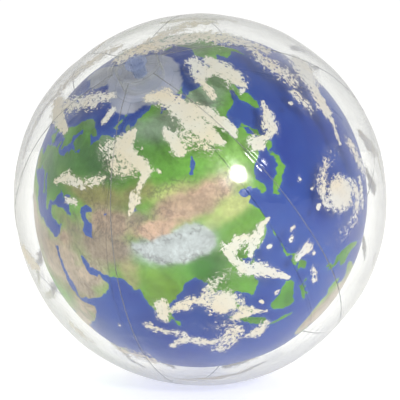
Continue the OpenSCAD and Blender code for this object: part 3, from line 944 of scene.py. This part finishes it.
def vinyl_material(name, colour, clear_share):
    """Translucent moulded vinyl."""
    s = Sheet(name)
    tone = s.blend(s.noise(300, 3), colour, tuple(c * 0.8 for c in colour))
    body = s.node("ShaderNodeBsdfPrincipled", Base_Color=tone, Normal=film_bump(s, 0.1))
    s.fix(body, Roughness=0.22)
    through = s.node("ShaderNodeBsdfTransparent", Color=rgba((0.93, 0.95, 0.98))).outputs[0]
    share = s.ramp(s.noise(200, 2), 0.3, 0.7, clear_share - 0.05, clear_share + 0.05)
    share = s.math("MULTIPLY", share, s.ramp(glancing(s), 0.3, 1.0, 1.0, 0.35))
    return s.finish(s.mix_shaders(share, body.outputs[0], through))


def film_material(name):
    s = Sheet(name)
    return s.finish(clear_parts(s, 0.05, 0.3)[0])


def dress(piece, material):
    """Puts one material on a piece or a CAD node."""
    piece.data.materials.clear()
    piece.data.materials.append(material)


# ---------------------------------------------------------------- pieces

cloud_film = cloud_material()
map_film = map_material()
clear_film = film_material("clear_film")
valve_vinyl = vinyl_material("valve_vinyl", tuple(linear(172, 184, 216)), 0.74)

SLIPS = [-0.1, 1.2, 0.6, 0.3, -0.5, -1.5]  # degrees that each inner gore's print is out of register


def settle(piece, material, node):
    """Thickens a piece of film, gives it its material, hides the CAD node that it replaces and puts it on its
    body.
    """
    thicken(piece, LOOKS_FILM)
    dress(piece, material)
    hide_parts(node)
    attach(piece, "ball")


def print_map(piece, towards, from_seam, slip=0.0):
    """Stores the printed map on an inner piece."""
    shore, tint, relief, ice = map_fields(towards @ MAP_TO_ROW, slip)
    give(piece, "shore", shore)
    give(piece, "land_tint", tint)
    give(piece, "relief", relief)
    give(piece, "ice", ice)
    give(piece, "seam", from_seam)


def print_clouds(piece, towards, from_seam):
    """Stores the printed clouds on an outer piece."""
    depth, flow = cloud_field(towards @ CLOUDS_TO_ROW)
    give(piece, "cloud", depth)
    give(piece, "flow", flow)
    give(piece, "seam", from_seam)


for i in range(GORES):
    spots, faces, towards, from_seam = make_gore(INNER_R, INNER_SEAM_TURN, i, 300, 0.8)
    piece = mesh_object(f"globe_panel_{i + 1}", spots, faces)
    print_map(piece, towards, from_seam, SLIPS[i])
    settle(piece, map_film, inner_names[i])

    spots, faces, towards, from_seam = make_gore(OUTER_R, OUTER_SEAM_TURN, i, 700, 1.0)
    spots[:, 2] = np.maximum(spots[:, 2], outer_low[2])
    piece = mesh_object(f"cloud_panel_{i + 1}", spots, faces)
    print_clouds(piece, towards, from_seam)
    settle(piece, cloud_film, outer_names[i])

for name, pole in (("near", 1), ("far", -1)):
    hole = 0.5 * MM if pole > 0 else NECK_R - FILM
    spots, faces, towards = make_cap(INNER_R, hole, pole, 0.1 * MM)
    piece = mesh_object(f"globe_cap_{name}", spots, faces)
    print_map(piece, towards, np.ones(len(spots)))
    settle(piece, map_film, f"inner_{name}_disc")

    spots, faces, towards = make_cap(OUTER_R, SLEEVE_R, pole, 0.28 * MM)
    piece = mesh_object(f"polar_film_{name}", spots, faces)
    print_clouds(piece, towards, np.ones(len(spots)))
    settle(piece, cloud_film, f"outer_{name}_disc")

for name in ("near_neck", "far_neck"):
    dress(frame["nodes"][name], clear_film)
for side in ("outer", "inner"):
    for part in ("valve_flange", "valve_stem", "plug", "plug_strap", "check_flap"):
        dress(frame["nodes"][f"{side}_{part}"], valve_vinyl)

# ---------------------------------------------------------------- stage, light and camera


DIM_SIDE = 0.5
WHITE_SIDE = 1.05
FLOOR_GLOW = 0.58


def floor():
    s = Sheet("studio_floor")
    body = s.node("ShaderNodeBsdfPrincipled", Base_Color=rgba((0.93, 0.925, 0.915)))
    s.fix(body, Roughness=0.9, Specular_IOR_Level=0.0)
    s.fix(body, Emission_Color=(1, 0.995, 0.985, 1), Emission_Strength=FLOOR_GLOW)
    half = 12.0
    spots = np.array([[-half, -half, 0], [half, -half, 0], [half, half, 0], [-half, half, 0]])
    plane = mesh_object("studio_floor", spots, np.array([[0, 1, 2, 3]]))
    plane.location.z = -0.0003
    dress(plane, s.finish(body.outputs[0]))


def world():
    """A pale studio: white behind the ball, dimmer on the camera's side."""
    w = bpy.data.worlds.new("studio")
    bpy.context.scene.world = w
    w.use_nodes = True
    tree = w.node_tree
    background = tree.nodes["Background"]
    background.inputs["Color"].default_value = (1, 1, 0.995, 1)
    split = tree.nodes.new("ShaderNodeSeparateXYZ")
    tree.links.new(tree.nodes.new("ShaderNodeTexCoord").outputs["Generated"], split.inputs[0])
    level = tree.nodes.new("ShaderNodeMapRange")
    level.interpolation_type = "SMOOTHSTEP"
    tree.links.new(split.outputs["Y"], level.inputs[0])
    for socket, value in zip(level.inputs[1:5], (-0.2, 0.75, DIM_SIDE, WHITE_SIDE)):
        socket.default_value = value
    tree.links.new(level.outputs[0], background.inputs["Strength"])


def area_light(name, towards, distance, size, power, glossy):
    """A round softbox at a direction from the ball's centre, aimed at it."""
    light = bpy.data.lights.new(name, "AREA")
    light.shape = "DISK"
    light.size = size
    light.energy = power
    lamp = bpy.data.objects.new(name, light)
    lamp.visible_glossy = glossy
    bpy.context.scene.collection.objects.link(lamp)
    direction = Vector(towards).normalized()
    lamp.location = Vector(CENTRE) + direction * distance
    lamp.rotation_euler = direction.to_track_quat("Z", "Y").to_euler()
    return lamp


CAMERA_TILT = math.radians(4)
CAMERA_DISTANCE = 5.4 * OUTER_R
BALL_SHARE = 0.466  # of the picture's width from its middle to the ball's outline


def camera():
    lens = bpy.data.cameras.new("view")
    eye = bpy.data.objects.new("view", lens)
    bpy.context.scene.collection.objects.link(eye)
    away = Vector((0, -math.cos(CAMERA_TILT), math.sin(CAMERA_TILT)))
    eye.location = Vector(CENTRE) + away * CAMERA_DISTANCE
    eye.rotation_euler = away.to_track_quat("Z", "Y").to_euler()
    outline = 1 / math.sqrt((CAMERA_DISTANCE / OUTER_R) ** 2 - 1)
    lens.lens = lens.sensor_width * BALL_SHARE / outline
    bpy.context.scene.camera = eye


floor()
world()
area_light("key", (0.35, -0.89, 0.30), 1.5, 0.25, 8, True)
bpy.context.scene.cycles.transparent_max_bounces = 32
camera()
bpy.context.scene.view_settings.view_transform = "Standard"
